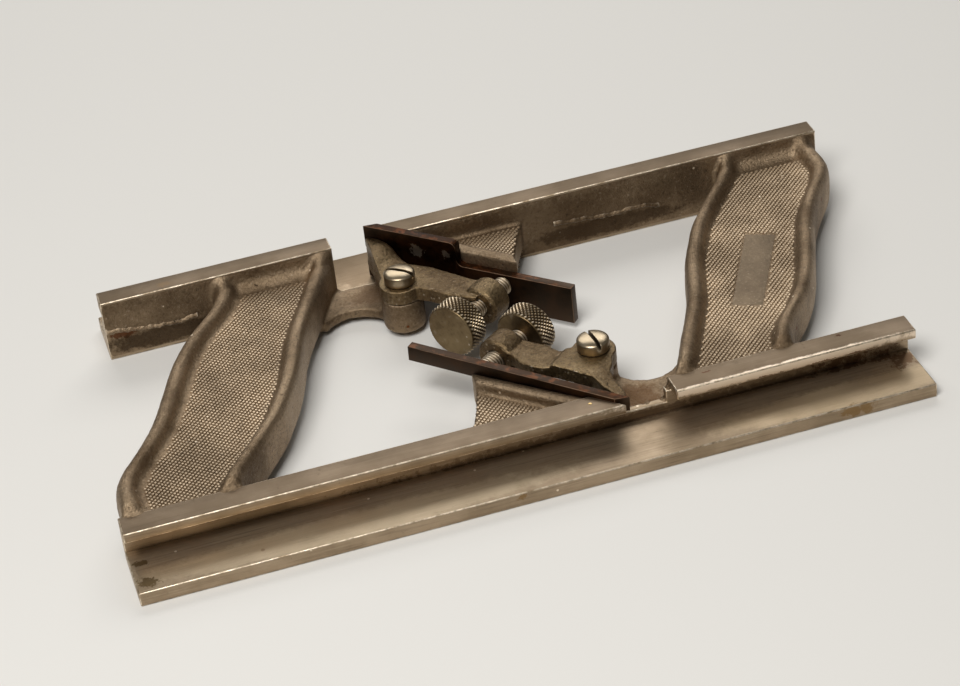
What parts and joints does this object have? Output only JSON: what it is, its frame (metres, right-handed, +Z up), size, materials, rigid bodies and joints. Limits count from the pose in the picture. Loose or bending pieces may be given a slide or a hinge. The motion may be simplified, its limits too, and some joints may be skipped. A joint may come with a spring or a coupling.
{
  "type": "tongue and groove plane",
  "caption": "Metal joinery plane with a grooving side and a tonguing side, each with a fence, a skewed cutter and a lever clamp, joined by curved checkered handles.",
  "frame": {"origin": "centre of the casting on the plane that the undersides of both fences lie on", "axes": "+X along the rails, +Y from the grooving rail to the tonguing rail, +Z up, from the fences to the cutters' tops"},
  "size_m": [0.243, 0.14, 0.0224],
  "materials": {
    "nickel_plated_iron": "worn satin nickel plate",
    "dark_tool_steel": "dark brown patina with light rust",
    "polished_nickel_steel": "polished nickel plate, knurled heads"
  },
  "bodies": {
    "stock": {"stock": "nickel_plated_iron", "grooving_pivot_screw": "polished_nickel_steel", "tonguing_pivot_screw": "polished_nickel_steel"},
    "grooving_cutter": {"grooving_cutter": "dark_tool_steel"},
    "tonguing_cutter": {"tonguing_cutter": "dark_tool_steel"},
    "grooving_lever": {"grooving_clamp_lever": "nickel_plated_iron"},
    "tonguing_lever": {"tonguing_clamp_lever": "nickel_plated_iron"},
    "grooving_thumb_screw": {"grooving_thumb_screw": "polished_nickel_steel"},
    "tonguing_thumb_screw": {"tonguing_thumb_screw": "polished_nickel_steel"}
  },
  "joints": [
    {"name": "grooving_cutter_slide", "type": "slide", "parent": "stock", "child": "grooving_cutter", "axis": [0.7066, -0.7066, -0.0384], "range_m": [-0.012, 0.0034]},
    {"name": "tonguing_cutter_slide", "type": "slide", "parent": "stock", "child": "tonguing_cutter", "axis": [-0.7071, 0.7071, 0], "range_m": [-0.012, 0.0034]},
    {"name": "grooving_screw_slide", "type": "slide", "parent": "grooving_lever", "child": "grooving_thumb_screw", "axis": [0.7771, 0.6293, 0], "range_m": [0, 0.003]},
    {"name": "tonguing_screw_slide", "type": "slide", "parent": "tonguing_lever", "child": "tonguing_thumb_screw", "axis": [-0.7771, -0.6293, 0], "range_m": [0, 0.003]},
    {"name": "grooving_lever_pivot", "type": "hinge", "parent": "stock", "child": "grooving_lever", "pos_m": [0.02058, -0.02934, 0.012], "axis": [0, 0, 1], "range_deg": [0, 5.6]},
    {"name": "tonguing_lever_pivot", "type": "hinge", "parent": "stock", "child": "tonguing_lever", "pos_m": [-0.02058, 0.02934, 0.012], "axis": [0, 0, 1], "range_deg": [0, 5.6]}
  ],
  "couplings": [
    {"joint": "grooving_lever_pivot", "follows": "grooving_screw_slide", "rad_per_m": 32},
    {"joint": "tonguing_lever_pivot", "follows": "tonguing_screw_slide", "rad_per_m": 32}
  ]
}
